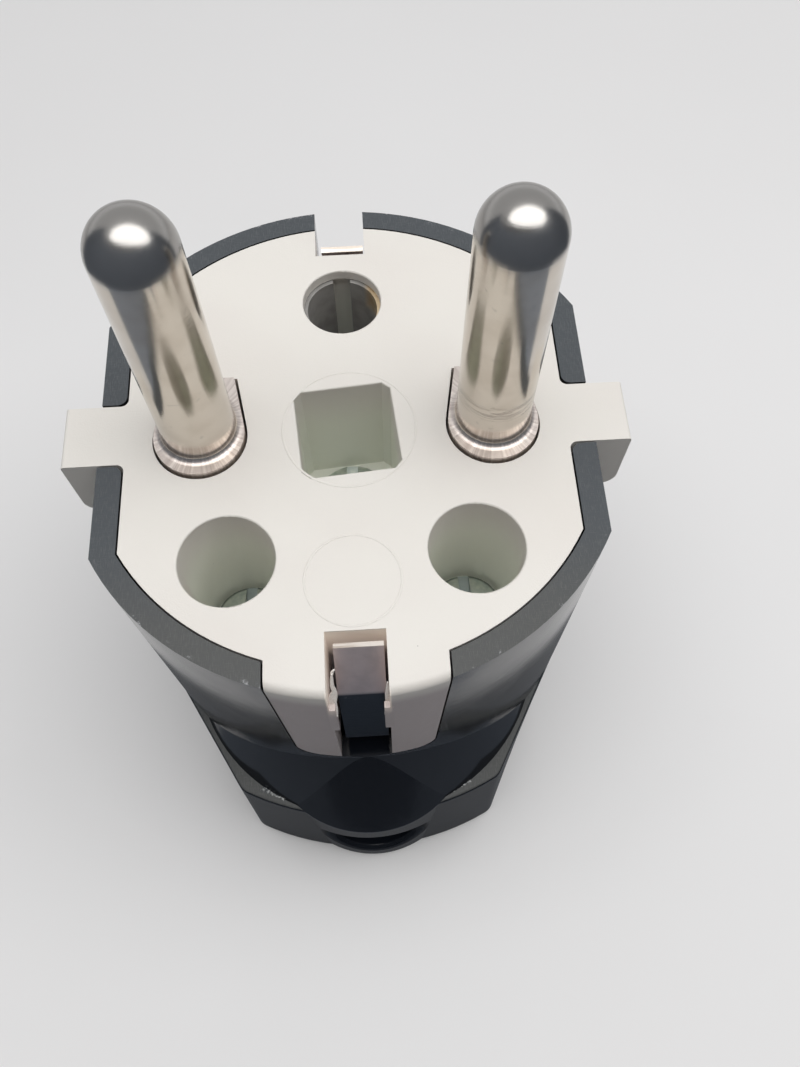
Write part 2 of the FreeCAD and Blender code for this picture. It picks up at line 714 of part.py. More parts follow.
os.makedirs("parts", exist_ok=True)
for name, shape in build().items():
    shape.exportStep("parts/" + name + ".step")
    print(name, shape.ShapeType, len(shape.Solids), shape.isValid(), round(shape.Volume, 2))
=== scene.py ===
# %% [markdown]
# This lesson dresses a small mains plug: a black moulded cover, a white face insert,
# two nickel pins, a bent earth strip and a few screws. The solids come from CAD and stay
# where they are. Here they get their finishes, and the thin marks that moulding leaves.

# %% Load the solids
import json
import math

import bpy
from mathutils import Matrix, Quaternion, Vector


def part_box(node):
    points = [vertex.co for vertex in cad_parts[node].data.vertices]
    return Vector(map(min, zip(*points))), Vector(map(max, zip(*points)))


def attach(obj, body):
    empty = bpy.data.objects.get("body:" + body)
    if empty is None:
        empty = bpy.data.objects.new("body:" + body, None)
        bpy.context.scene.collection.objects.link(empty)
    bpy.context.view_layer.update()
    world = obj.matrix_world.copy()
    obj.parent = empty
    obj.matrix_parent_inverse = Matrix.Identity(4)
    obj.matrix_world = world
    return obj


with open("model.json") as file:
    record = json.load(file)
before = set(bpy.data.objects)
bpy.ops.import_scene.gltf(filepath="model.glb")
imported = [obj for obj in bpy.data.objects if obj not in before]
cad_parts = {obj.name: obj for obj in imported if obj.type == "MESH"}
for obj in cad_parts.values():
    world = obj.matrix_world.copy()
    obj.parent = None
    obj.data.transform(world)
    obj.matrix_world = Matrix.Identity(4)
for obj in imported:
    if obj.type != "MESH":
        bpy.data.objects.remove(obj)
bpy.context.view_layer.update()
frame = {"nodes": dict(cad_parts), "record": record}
MM = 0.001
bpy.ops.object.select_all(action="DESELECT")

# %% [markdown]
# Every place below is worked out from the solids where it can be, so that a mark sits on
# the face it belongs to. The face's height is the top of the cover, and the plug's axis is
# X = Y = 0. Materials count in millimetres. Names that end in MM are in millimetres, and
# other lengths are in metres.

# %% Places read from the solids
face_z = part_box("cover")[1][2]
rim_points = [v.co for v in frame["nodes"]["cover"].data.vertices if v.co.z > face_z - MM]
body_radius = max(math.hypot(point.x, point.y) for point in rim_points)
square_well_y = (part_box("centre_screw")[0][1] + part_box("centre_screw")[1][1]) / 2
pin_low, pin_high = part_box("line_pin")
PIN_X_MM = abs(pin_low[0] + pin_high[0]) / 2 / MM
TIP_MM = pin_high[2] / MM
FACE_MM = face_z / MM
RADIUS_MM = body_radius / MM
LEDGE_MM = 16.0
KNEE_MM = FACE_MM - 4.0
DRIVER_SLOT_DEPTH_MM = 0.9
SLOT_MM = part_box("cover_screw_left")[1][2] / MM - DRIVER_SLOT_DEPTH_MM
GROOVE_HALF_MM = 1.87
GROOVE_BACK_MM = -14.14
print("face at", round(FACE_MM, 2), "mm, radius", round(RADIUS_MM, 2), "mm")
print("pins at", round(PIN_X_MM, 2), "mm from the axis, tips at", round(TIP_MM, 2), "mm")

# %% [markdown]
# A finish is a small tree of nodes. Wiring it by hand hides the sum it works out, so
# this class wraps a socket and lets the sums be written as plain Python expressions.


# %% Shader maths
class Field:
    """A value or vector that changes over a surface, held as a node socket."""

    def __init__(self, tree, socket):
        self.tree = tree
        self.socket = socket

    def node(self, kind, settings, inputs):
        """Adds one node: its settings first, then the values or links of its sockets."""
        made = self.tree.nodes.new(kind)
        for name, value in settings.items():
            setattr(made, name, value)
        for name, value in inputs.items():
            if isinstance(value, Field):
                self.tree.links.new(value.socket, made.inputs[name])
            else:
                made.inputs[name].default_value = value
        return Field(self.tree, made.outputs[0])

    def math(self, operation, *others, clamp=False):
        inputs = dict(enumerate((self,) + others))
        return self.node("ShaderNodeMath", {"operation": operation, "use_clamp": clamp}, inputs)

    def __add__(self, other):
        return self.math("ADD", other)

    __radd__ = __add__

    def __sub__(self, other):
        return self.math("SUBTRACT", other)

    def __rsub__(self, other):
        return (self * -1.0) + other

    def __mul__(self, other):
        return self.math("MULTIPLY", other)

    __rmul__ = __mul__

    def __truediv__(self, other):
        return self.math("DIVIDE", other)

    def __abs__(self):
        return self.math("ABSOLUTE")

    def clamp(self):
        return self.math("ADD", 0.0, clamp=True)

    def max(self, other):
        return self.math("MAXIMUM", other)

    def ramp(self, start, end):
        """0 below start, 1 above end, smooth between. start may be the larger."""
        settings = {"interpolation_type": "SMOOTHSTEP", "clamp": True}
        flip = start > end
        inputs = {"Value": self, "From Min": min(start, end), "From Max": max(start, end),
                  "To Min": 1.0 if flip else 0.0, "To Max": 0.0 if flip else 1.0}
        return self.node("ShaderNodeMapRange", settings, inputs)

    def noise(self, scale, detail=3.0, roughness=0.5):
        inputs = {"Vector": self, "Scale": scale, "Detail": detail, "Roughness": roughness}
        return self.node("ShaderNodeTexNoise", {}, inputs)

    def spots(self, scale):
        """Distance to the nearest of many scattered points."""
        return self.node("ShaderNodeTexVoronoi", {}, {"Vector": self, "Scale": scale})

    def stretched(self, scale, turn=(0, 0, 0)):
        """The same place with its axes turned and scaled, to draw a pattern out one way."""
        inputs = {"Vector": self, "Scale": scale, "Rotation": turn}
        return self.node("ShaderNodeMapping", {}, inputs)

    def parts(self):
        """The three numbers of a vector."""
        made = self.tree.nodes.new("ShaderNodeSeparateXYZ")
        self.tree.links.new(self.socket, made.inputs[0])
        return [Field(self.tree, output) for output in made.outputs]


def mix_colour(factor, first, second):
    """Colour first where factor is 0, and second where it is 1."""
    made = factor.tree.nodes.new("ShaderNodeMix")
    made.data_type = "RGBA"
    factor.tree.links.new(factor.socket, made.inputs[0])
    for index, colour in ((6, first), (7, second)):
        if isinstance(colour, Field):
            factor.tree.links.new(colour.socket, made.inputs[index])
        else:
            made.inputs[index].default_value = (*colour, 1.0)
    return Field(factor.tree, made.outputs[2])


class Finish:
    """A new material with its Principled shader, and where each point is in millimetres."""

    def __init__(self, name, **constants):
        self.material = bpy.data.materials.new(name)
        self.material.use_nodes = True
        self.tree = self.material.node_tree
        self.shader = self.tree.nodes["Principled BSDF"]
        for socket, value in constants.items():
            self.shader.inputs[socket.replace("_", " ")].default_value = value
        coordinates = self.tree.nodes.new("ShaderNodeTexCoord")
        metres = Field(self.tree, coordinates.outputs["Object"])
        self.place = metres.node("ShaderNodeVectorMath", {"operation": "SCALE"},
                                 {0: metres, "Scale": 1 / MM})
        self.x, self.y, self.z = self.place.parts()
        geometry = self.tree.nodes.new("ShaderNodeNewGeometry")
        self.facing_up = Field(self.tree, geometry.outputs["Normal"]).parts()[2]

    def set(self, socket, field):
        self.tree.links.new(field.socket, self.shader.inputs[socket])

    def bump(self, height, depth_mm):
        """Raises the surface by height times depth_mm."""
        made = self.tree.nodes.new("ShaderNodeBump")
        made.inputs["Strength"].default_value = 1.0
        made.inputs["Distance"].default_value = depth_mm * MM
        self.tree.links.new(height.socket, made.inputs["Height"])
        self.tree.links.new(made.outputs["Normal"], self.shader.inputs["Normal"])

    def radius_from(self, x, y):
        """Distance from an upright axis, in millimetres."""
        across = self.x - x
        along = self.y - y
        return (across * across + along * along).math("SQRT")

    def way_round(self, x, y):
        """The direction out from an upright axis, as a vector for patterns round it."""
        radius = self.radius_from(x, y) + 0.01
        inputs = {"X": (self.x - x) / radius, "Y": (self.y - y) / radius}
        return self.x.node("ShaderNodeCombineXYZ", {}, inputs)


# %% [markdown]
# The face insert is moulded in a warm white plastic with a satin skin. Up close it isn't
# even: the mould's fine grain shows, the white drifts a little, and handling has left
# faint rubs and a few dark specks. Down in the wells the white turns greener and a little
# lighter. The outer wall of the key is painted grey and pinkish as painted shade, since it
# faces away from the light. Noise at three scales, the height and the distance from the
# axis give all of that. The groove of the front clip gets a faint painted glow: its walls
# emit a little light, which stands in for light passing through the plastic.

# %% White moulded plastic
WELLS_WITHIN_MM = 14.0
KEY_FRONT_MM = -15.0
white = Finish("white_plastic", IOR=1.5, Emission_Strength=1.0)
drift = white.place.noise(0.09, detail=2.0)
mottle = white.place.noise(1.4, detail=4.0)
warm_white = mix_colour(drift.ramp(0.35, 0.65), (0.775, 0.735, 0.685), (0.800, 0.768, 0.715))
near_wells = white.radius_from(0, 0).ramp(WELLS_WITHIN_MM + 0.4, WELLS_WITHIN_MM)
# Down in the wells the white turns greener and a little lighter.
deep = white.z.ramp(FACE_MM - 0.5, FACE_MM - 5.0) * near_wells
well_white = mix_colour(deep, warm_white, (0.84, 0.85, 0.76))
key_wall = white.y.ramp(KEY_FRONT_MM + 3.0, KEY_FRONT_MM)
# Painted shade: the key's front wall is darkened to a grey pink.
painted_key_shade = white.z.ramp(FACE_MM - 0.6, FACE_MM - 2.5) * key_wall
key_shaded_white = mix_colour(painted_key_shade, well_white, (0.525, 0.465, 0.455))
speck_dots = white.place.spots(0.62).ramp(0.035, 0.02)
specks = speck_dots * white.place.noise(0.35, detail=0.0).ramp(0.55, 0.6)
marked_white = mix_colour(specks * 0.8, key_shaded_white, (0.20, 0.19, 0.17))
white.set("Base Color", marked_white)
# Painted light: the groove's walls emit a faint glow that stands in for light through the plastic.
between_walls = abs(white.x).ramp(GROOVE_HALF_MM + 0.08, GROOVE_HALF_MM)
in_groove = between_walls * white.y.ramp(GROOVE_BACK_MM + 0.06, GROOVE_BACK_MM)
below_edge = white.z.ramp(FACE_MM, FACE_MM - 0.2)
near_light = white.z.ramp(FACE_MM - 4.8, FACE_MM - 2.2)
painted_glow = in_groove * below_edge * near_light
white.set("Emission Color", mix_colour(painted_glow, (0.0, 0.0, 0.0), (0.165, 0.135, 0.108)))
rubs = white.place.stretched(scale=(1, 6, 1), turn=(0, 0, 0.5)).noise(1.1, detail=3.0)
white.set("Roughness", 0.38 + rubs * 0.16)
white.bump(white.place.noise(9.0, detail=4.0) + mottle * 0.8, 0.010)
print("white plastic:", len(white.tree.nodes), "nodes")

# %% [markdown]
# The cover is a hard black plastic. Its side came off a polished mould, so it is glossy
# and shows the table. Its rim and the ledge at its foot were trimmed and have been rubbed
# against outlets, so they are grey with fine scratches, and the grey is also painted sheen
# from the light above on these flat tops. The grey is a little warmer towards the front. A
# broken pale line is painted along the rim's outer edge as a painted highlight, most of it
# near the key.

# %% Black cover
black = Finish("black_cover", IOR=1.5, Specular_IOR_Level=0.28)
level_top = black.facing_up.ramp(0.6, 0.9)
rim = level_top * black.z.ramp(FACE_MM - 0.6, FACE_MM - 0.2)
above_base = black.z.ramp(LEDGE_MM - 0.6, LEDGE_MM - 0.3)
below_swell = black.z.ramp(LEDGE_MM + 0.4, LEDGE_MM + 0.1)
ledge = level_top * above_base * below_swell
rubbed_and_sheen_top = rim.max(ledge)
fine_lines = black.place.stretched(scale=(9, 0.8, 1), turn=(0, 0, 0.7)).noise(2.2, detail=5.0)
cross_lines = black.place.stretched(scale=(0.8, 11, 1), turn=(0, 0, -0.5)).noise(1.9, detail=5.0)
scratches = (fine_lines.ramp(0.5, 0.66) + cross_lines.ramp(0.52, 0.7) * 0.7).clamp()
# Painted highlight: a broken pale line along the rim's outer edge, most of it near the key.
edge_distance = abs(black.radius_from(0, 0) - (RADIUS_MM - 0.05))
near_key = abs(black.x).ramp(9.0, 5.0) * black.y.ramp(-14.0, -16.0)
edge_highlight_noise = black.place.noise(1.3, detail=5.0, roughness=0.7) + near_key * 0.06
edge_highlight_places = edge_highlight_noise.ramp(0.58, 0.65)
painted_edge_highlight = edge_distance.ramp(0.32, 0.04) * edge_highlight_places * rim
# The rim's and ledge's grey is partly rubbing and partly painted sheen from the light above; it is
# a little warmer towards the front.
cool_rub_and_sheen = mix_colour(scratches, (0.074, 0.082, 0.090), (0.104, 0.113, 0.120))
warm_rub_and_sheen = mix_colour(scratches, (0.086, 0.088, 0.086), (0.120, 0.122, 0.118))
rub_and_sheen_tone = mix_colour(black.y.ramp(-7.0, -15.0), cool_rub_and_sheen, warm_rub_and_sheen)
rub_sheen_and_edge_highlight = mix_colour(painted_edge_highlight, rub_and_sheen_tone, (0.34, 0.34, 0.35))
black.set("Base Color", mix_colour(rubbed_and_sheen_top, (0.006, 0.0075, 0.011), rub_sheen_and_edge_highlight))
side_haze = black.place.noise(0.5, detail=4.0)
black.set("Roughness", 0.08 + side_haze * 0.08 + rubbed_and_sheen_top * (0.30 + scratches * 0.12))
black.bump(black.place.noise(1.1, detail=2.0) * 0.35 + rubbed_and_sheen_top * scratches * 0.6, 0.010)
print("black cover:", len(black.tree.nodes), "nodes")

# %% [markdown]
# The pins are turned brass under bright nickel. A lathe and a polishing belt leave rings
# round them, so the bump follows height far more than the way round. The round ends have
# rubbed dull, and their metal is also painted darker as a painted dark reflection. One pin
# has a few dark rings low on its shaft. The collar at the root isn't polished: a file has
# left short lines on it that run outwards. Metal has no colour of its own under the plate,
# only a warm tint.

# %% Nickel pins
nickel = Finish("nickel_pin", Metallic=1.0)
rings = nickel.place.stretched(scale=(0.25, 0.25, 9)).noise(1.6, detail=4.0)
drawn = nickel.place.stretched(scale=(5, 5, 0.12)).noise(2.0, detail=3.0)
dull = nickel.place.noise(0.45, detail=3.0)
# A few dark rings low on the right pin's shaft.
low_on_right_pin = nickel.x.ramp(0.0, 1.0) * nickel.z.ramp(FACE_MM + 3.0, FACE_MM + 3.3)
low_dark_rings = low_on_right_pin * nickel.z.ramp(FACE_MM + 4.8, FACE_MM + 4.3) * rings.ramp(0.52, 0.57)
spots = nickel.place.noise(1.9, detail=4.0).ramp(0.66, 0.72)
cap = nickel.z.ramp(TIP_MM - 2.9, TIP_MM - 2.0)
collar = nickel.z.ramp(FACE_MM + 0.75, FACE_MM + 0.5)
right_side = nickel.x.ramp(-0.01, 0.01)
left_lines = nickel.way_round(-PIN_X_MM, 0).noise(17.0, detail=5.0)
right_lines = nickel.way_round(PIN_X_MM, 0).noise(17.0, detail=5.0)
file_lines = left_lines + (right_lines - left_lines) * right_side
clean = mix_colour(dull.ramp(0.35, 0.7), (0.64, 0.59, 0.525), (0.57, 0.515, 0.45))
marked = mix_colour(low_dark_rings * 0.6 + spots * 0.35, clean, (0.36, 0.33, 0.30))
filed = mix_colour(file_lines.ramp(0.35, 0.65), (0.76, 0.69, 0.64), (0.56, 0.49, 0.45))
# Painted reflection: the round ends are painted darker than the shaft.
cap_painted_dark = mix_colour(cap, marked, (0.40, 0.385, 0.365))
nickel.set("Base Color", mix_colour(collar, cap_painted_dark, filed))
nickel.set("Roughness", 0.10 + dull * 0.10 + cap * 0.09 + collar * 0.24)
nickel.bump(rings * 0.5 + drawn * 0.35 + low_dark_rings * 0.8 + collar * file_lines * 4.0, 0.006)
print("nickel pins:", len(nickel.tree.nodes), "nodes")

# %% [markdown]
# The earth clips are cut from nickel-plated strip. The cut edge on top is painted bright and
# less metallic, a painted highlight, with the two lines that shearing leaves. The sloping face
# below it has lost its polish to the springs of outlets. Below the knee the plate is painted
# dark, as painted shade and reflection of the dark groove it sits in.

# %% Earth strip
strip = Finish("strip_nickel", Specular_Tint=(0.62, 0.62, 0.63, 1.0))
brushed = strip.place.stretched(scale=(0.6, 3, 3)).noise(1.8, detail=3.0)
stain = strip.place.noise(0.7, detail=3.0)
# Painted highlight: the top cut edge is painted near white.
highlit_cut_edge = strip.facing_up.ramp(0.75, 0.92) * strip.z.ramp(FACE_MM - 0.8, FACE_MM - 0.5)
shear_lines = strip.place.stretched(scale=(0.1, 1, 1), turn=(0, 0, 0.03)).noise(3.2, detail=1.0)
outer = abs(strip.y).ramp(RADIUS_MM - 3.8, RADIUS_MM - 3.4)
# Painted shade: the plate below the knee is painted dark.
shade_below_knee = strip.z.ramp(KNEE_MM + 0.25, KNEE_MM - 0.25) * outer
fleck_band = strip.z.ramp(KNEE_MM - 1.6, KNEE_MM - 0.6) * strip.z.ramp(KNEE_MM + 1.2, KNEE_MM)
pale_flecks = strip.place.noise(4.0, detail=4.0).ramp(0.66, 0.70) * fleck_band
plated = mix_colour(stain.ramp(0.4, 0.7), (0.88, 0.76, 0.73), (0.78, 0.67, 0.64))
plate_with_painted_shade = mix_colour(shade_below_knee, plated, (0.052, 0.062, 0.074))
flecked = mix_colour(pale_flecks * 0.3, plate_with_painted_shade, (0.50, 0.49, 0.46))
edge_highlight_tone = mix_colour(shear_lines.ramp(0.40, 0.60), (0.97, 0.91, 0.84), (0.66, 0.58, 0.50))
strip.set("Base Color", mix_colour(highlit_cut_edge, flecked, edge_highlight_tone))
strip.set("Metallic", 1.0 - highlit_cut_edge * 0.6)
strip.set("Roughness", 0.46 + brushed * 0.12 - shade_below_knee * 0.15 - highlit_cut_edge * 0.10)
strip.bump(brushed, 0.004)
print("earth strip:", len(strip.tree.nodes), "nodes")

# %% [markdown]
# The earth socket is drawn brass tube. It is bright brass only near its mouth on its +X side;
# further in and round the rest of the tube the metal gives way to a dull grey.

# %% Brass earth socket
brass = Finish("drawn_brass")
tarnish = brass.place.noise(0.9, detail=4.0)
inside_tube = brass.z.ramp(FACE_MM - 1.8, FACE_MM - 3.2).max(brass.x.ramp(2.1, 1.5))
bright_brass = mix_colour(tarnish.ramp(0.35, 0.7), (0.88, 0.70, 0.46), (0.66, 0.50, 0.31))
inner_grey = mix_colour(tarnish.ramp(0.35, 0.7), (0.38, 0.37, 0.355), (0.30, 0.29, 0.275))
brass.set("Base Color", mix_colour(inside_tube, bright_brass, inner_grey))
brass.set("Metallic", 0.70 - inside_tube * 0.55)
brass.set("Roughness", 0.28 + tarnish * 0.16 + inside_tube * 0.2)
brass.bump(brass.place.stretched(scale=(6, 6, 0.4)).noise(2.0, detail=3.0), 0.006)
print("drawn brass:", len(brass.tree.nodes), "nodes")

# %% [markdown]
# The screws are zinc plated, with a blue-green bloom. The driver's slots are darker than the
# domes round them.

# %% Zinc-plated screws
zinc = Finish("zinc_steel", Metallic=1.0)
bloom = zinc.place.noise(1.6, detail=4.0)
plating = mix_colour(bloom.ramp(0.35, 0.7), (0.80, 0.84, 0.80), (0.62, 0.68, 0.66))
in_slot = zinc.z.ramp(SLOT_MM + 0.25, SLOT_MM + 0.1) * zinc.z.ramp(SLOT_MM - 0.3, SLOT_MM - 0.2)
zinc.set("Base Color", mix_colour(in_slot, plating, (0.30, 0.34, 0.33)))
zinc.set("Roughness", 0.36 + bloom * 0.2)
zinc.bump(zinc.place.noise(6.0, detail=3.0), 0.012)
print("zinc steel:", len(zinc.tree.nodes), "nodes")

# %% [markdown]
# The plate that holds the pins is pressed fibre, and the cord's clamp is a pale plastic.
# Both are out of sight, and get plain finishes with a little grain.

# %% Hidden fibre and plastic
fibre = Finish("pressed_fibre", Roughness=0.7)
fibre_grain = fibre.place.stretched(scale=(1, 5, 5)).noise(2.5, detail=4.0)
fibre_brown = mix_colour(fibre_grain.ramp(0.4, 0.6), (0.17, 0.095, 0.05), (0.11, 0.06, 0.035))
fibre.set("Base Color", fibre_brown)
fibre.bump(fibre_grain, 0.03)

clamp_plastic = Finish("clamp_plastic", Roughness=0.5)
clamp_grain = clamp_plastic.place.noise(3.0, detail=3.0)
clamp_plastic.set("Base Color", mix_colour(clamp_grain, (0.70, 0.69, 0.66), (0.76, 0.75, 0.72)))
clamp_plastic.bump(clamp_grain, 0.02)
print("hidden parts:", len(fibre.tree.nodes) + len(clamp_plastic.tree.nodes), "nodes")

# %% [markdown]
# A material slot name in the record says what each solid is made of, so one table from
# slot to finish dresses every node.

# %% Dress the solids
FINISHES = {
    "insert_white": white,
    "cover_black": black,
    "pin_nickel": nickel,
    "strap_nickel": strip,
    "socket_brass": brass,
    "screw_zinc": zinc,
    "retainer_fibre": fibre,
    "clamp_plastic": clamp_plastic,
}
node_slot = {part["node"]: part["material_slot"] for part in frame["record"]["subparts"]}
for name, solid in frame["nodes"].items():
    finish = FINISHES[node_slot[name]].material
    for slot in solid.material_slots:
        slot.material = finish
print("dressed", len(frame["nodes"]), "nodes in", len(FINISHES), "finishes")

# %% [markdown]
# Ejector pins and inserts in the mould leave thin raised rings on the white face. One goes
# round the square well and one lies below it. Each is a torus, flattened in edit mode so
# that its upper half stands a fiftieth of a millimetre proud of the face. A helper hands
# each finished piece to the frame, and first moves its place into its mesh.

# %% Helpers for small pieces
def finish_piece(name, finish):
    """Names the active piece, moves its place into its mesh and hands it to the frame."""
    piece = bpy.context.object
    piece.name = name
    bpy.ops.object.transform_apply(location=True, rotation=True, scale=True)
    piece.data.materials.clear()
    piece.data.materials.append(finish.material)
    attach(piece, "root")
    piece.select_set(False)
    return piece


# %% Witness rings
WITNESS_RINGS = {
    "witness_ring_well": (0.15, square_well_y / MM + 0.1, 4.33),
    "witness_ring_low": (0.0, -10.95, 2.95),
}
RING_HALF_WIDTH_MM = 0.075
RING_HEIGHT_MM = 0.02
for name, (x, y, radius) in WITNESS_RINGS.items():
    bpy.ops.mesh.primitive_torus_add(location=(x * MM, y * MM, face_z),
                                     major_radius=radius * MM,
                                     minor_radius=RING_HALF_WIDTH_MM * MM,
                                     major_segments=96, minor_segments=10)
    bpy.ops.object.mode_set(mode="EDIT")
    bpy.ops.mesh.select_all(action="SELECT")
    bpy.ops.transform.resize(value=(1, 1, RING_HEIGHT_MM / RING_HALF_WIDTH_MM))
    bpy.ops.object.mode_set(mode="OBJECT")
    ring = finish_piece(name, white)
    ring.data.shade_smooth()
print("witness rings:", len(WITNESS_RINGS))

# %% [markdown]
# Where the front clip rubs past its groove it has torn up slivers of the white plastic. A
# sliver starts as a small block. Its end face is extruded a few times, a little to one
# side and wider or narrower each time, as one would pull it out by hand.

# %% Torn slivers beside the front clip
torn_white = Finish("torn_white_plastic", Roughness=0.6, IOR=1.5)
fibres = torn_white.place.stretched(scale=(4, 4, 1)).noise(3.0, detail=4.0)
torn_tone = mix_colour(fibres.ramp(0.35, 0.65), (0.92, 0.90, 0.87), (0.80, 0.77, 0.73))
torn_white.set("Base Color", torn_tone)
torn_white.bump(fibres, 0.03)
BLOCK_HEIGHT_MM = 0.12
THINNING = 0.9
SOFT_EDGE_MM = 0.015


def torn_sliver(name, base, width, thickness, path):
    """A sliver that grows from base, in millimetres, by steps of (x, y, z, change of width)."""
    bpy.ops.mesh.primitive_cube_add(size=MM, location=[v * MM for v in base])
    bpy.ops.object.mode_set(mode="EDIT")
    bpy.ops.mesh.select_all(action="SELECT")
    bpy.ops.transform.resize(value=(width, thickness, BLOCK_HEIGHT_MM))
    bpy.ops.mesh.select_all(action="DESELECT")
    bpy.ops.object.mode_set(mode="OBJECT")
    block = bpy.context.object
    for face in block.data.polygons:
        face.select = face.normal.z > 0.9
    bpy.ops.object.mode_set(mode="EDIT")
    for x, y, z, change in path:
        bpy.ops.mesh.extrude_region_move(TRANSFORM_OT_translate={"value": (x * MM, y * MM, z * MM)})
        bpy.ops.transform.resize(value=(change, THINNING, 1))
    bpy.ops.object.mode_set(mode="OBJECT")
    bevel = block.modifiers.new("soft_edges", "BEVEL")
    bevel.width = SOFT_EDGE_MM * MM
    bevel.segments = 2
    bpy.ops.object.modifier_apply(modifier=bevel.name)
    finish_piece(name, torn_white)
    print(name, "has", len(block.data.polygons), "faces")


LEFT_PATH = [(0.02, 0.26, 0.60, 1.05), (-0.03, 0.26, 0.60, 0.95), (0.08, 0.25, 0.60, 1.15),
             (0.10, 0.16, 0.40, 0.55), (-0.10, 0.20, 0.50, 0.80), (0.02, 0.22, 0.60, 0.85),
             (0.06, 0.16, 0.50, 0.45)]
RIGHT_PATH = [(0.05, 0.20, 0.70, 0.90), (0.04, 0.20, 0.75, 1.10), (-0.05, 0.20, 0.70, 0.70),
              (0.05, 0.18, 0.70, 0.80), (0.02, 0.18, 0.60, 0.45)]
NIB_PATH = [(0.07, 0.05, 0.25, 0.8), (0.10, 0.04, 0.20, 0.6)]
torn_sliver("sliver_left", (-1.62, -18.02, 35.40), 0.46, 0.16, LEFT_PATH)
torn_sliver("sliver_right", (1.62, -17.98, 35.20), 0.34, 0.14, RIGHT_PATH)
torn_sliver("sliver_nib", (-1.50, -16.40, 38.90), 0.18, 0.14, NIB_PATH)

# %% [markdown]
# The cover's ledge was trimmed by hand, and rags of thin flash were left at two places on
# it. Each is a narrow grid laid along the ledge, crumpled in edit mode and then given a
# wall. It is the cover's own black plastic, painted pale in patches as a painted highlight
# where its ragged edges catch the light.

# %% Flash left on the ledge
flash_with_highlight = Finish("flash_black_highlit", Roughness=0.6, IOR=1.5)
flash_patches = flash_with_highlight.place.noise(4.0, detail=4.0)
# Painted highlight: pale patches on the black flash.
flash_highlight_tone = mix_colour(flash_patches.ramp(0.4, 0.65), (0.06, 0.065, 0.07), (0.42, 0.43, 0.42))
flash_with_highlight.set("Base Color", flash_highlight_tone)
flash_with_highlight.bump(flash_patches, 0.05)
FLASH_WIDTH_MM = 0.34
FLASH_WALL_MM = 0.06
FLASH_CRUMPLE_MM = 0.09


def ledge_flash(name, start, end):
    """A thin rag of flash from start to end on the ledge, in millimetres."""
    x0, y0 = start
    x1, y1 = end
    length = math.hypot(x1 - x0, y1 - y0)
    middle = ((x0 + x1) / 2 * MM, (y0 + y1) / 2 * MM, (LEDGE_MM + FLASH_WALL_MM) * MM)
    bpy.ops.mesh.primitive_grid_add(x_subdivisions=18, y_subdivisions=2, size=MM, location=middle,
                                    rotation=(0, 0, math.atan2(y1 - y0, x1 - x0)))
    bpy.ops.object.mode_set(mode="EDIT")
    bpy.ops.mesh.select_all(action="SELECT")
    bpy.ops.transform.resize(value=(length, FLASH_WIDTH_MM, 1), orient_type="LOCAL")
    bpy.ops.transform.vertex_random(offset=FLASH_CRUMPLE_MM * MM, uniform=0.6, seed=len(name))
    bpy.ops.object.mode_set(mode="OBJECT")
    rag = bpy.context.object
    wall = rag.modifiers.new("wall", "SOLIDIFY")
    wall.thickness = FLASH_WALL_MM * MM
    bpy.ops.object.modifier_apply(modifier=wall.name)
    finish_piece(name, flash_with_highlight)
    print(name, "is", round(length, 2), "mm long")


ledge_flash("flash_left", (-8.7, -18.65), (-6.9, -19.5))
ledge_flash("flash_right", (6.3, -19.7), (7.9, -18.95))

# %% [markdown]
# The floor is a wide pale sheet, which counts as stage and not as part of the plug. It is
# duller for light that bounces than for what the eye and the metal see, so the background
# stays pale and the plug's front isn't washed out. Polish also shows the dark place right
# at a thing's foot, where it keeps the light off, so the floor is dark there for mirrors.

# %% Floor
FLOOR_HALF = 0.6
BOUNCE_TONE = (0.36, 0.36, 0.36)
FOOT_TONE = (0.14, 0.145, 0.155)
FOOT_Y_MM = -3
FOOT_RADIUS_MM = 23.3
FOOT_FADE_MM = 24.5
bpy.ops.mesh.primitive_plane_add(size=FLOOR_HALF * 2, location=(0, 0, 0))
floor = bpy.context.object
floor.name = "floor"
paper = Finish("floor_paper", Roughness=0.7)


def ray_is(tree, kind):
    """1 for rays of one kind, such as Camera or Glossy, and 0 for all others."""
    return Field(tree, tree.nodes.new("ShaderNodeLightPath").outputs["Is " + kind + " Ray"])


def seen_directly(tree):
    """1 for rays from the eye, or by way of metal or glass, and 0 for bounced light."""
    return ray_is(tree, "Camera").max(ray_is(tree, "Glossy")).max(ray_is(tree, "Transmission"))


paper_tone = mix_colour(paper.place.noise(0.02), (0.80, 0.79, 0.785), (0.84, 0.832, 0.828))
foot = paper.radius_from(0, FOOT_Y_MM).ramp(FOOT_FADE_MM, FOOT_RADIUS_MM)
shown_tone = mix_colour(foot * ray_is(paper.tree, "Glossy"), paper_tone, FOOT_TONE)
paper.set("Base Color", mix_colour(seen_directly(paper.tree), BOUNCE_TONE, shown_tone))
floor.data.materials.append(paper.material)
print("floor", FLOOR_HALF * 2, "m wide")

# %% [markdown]
# The light is one wide soft panel overhead, so the pins' round ends catch it near their
# tops. The world is a dim sky, brighter behind than in front, above a pale horizon that
# only the eye and the metal see.

# %% Light and world
PANEL_PLACE = (0.09, -0.03, 0.40)
PANEL_WIDTH = 0.66
PANEL_DEPTH = 0.32
PANEL_WATTS = 1.42
SKY_FRONT = 0.10
SKY_RISE = 0.48
HORIZON_LEVEL = 0.78
panel_data = bpy.data.lights.new("panel", "AREA")
panel_data.shape = "ELLIPSE"
panel_data.size = PANEL_WIDTH
panel_data.size_y = PANEL_DEPTH
panel_data.energy = PANEL_WATTS
panel = bpy.data.objects.new("panel", panel_data)
panel.location = PANEL_PLACE
bpy.context.collection.objects.link(panel)

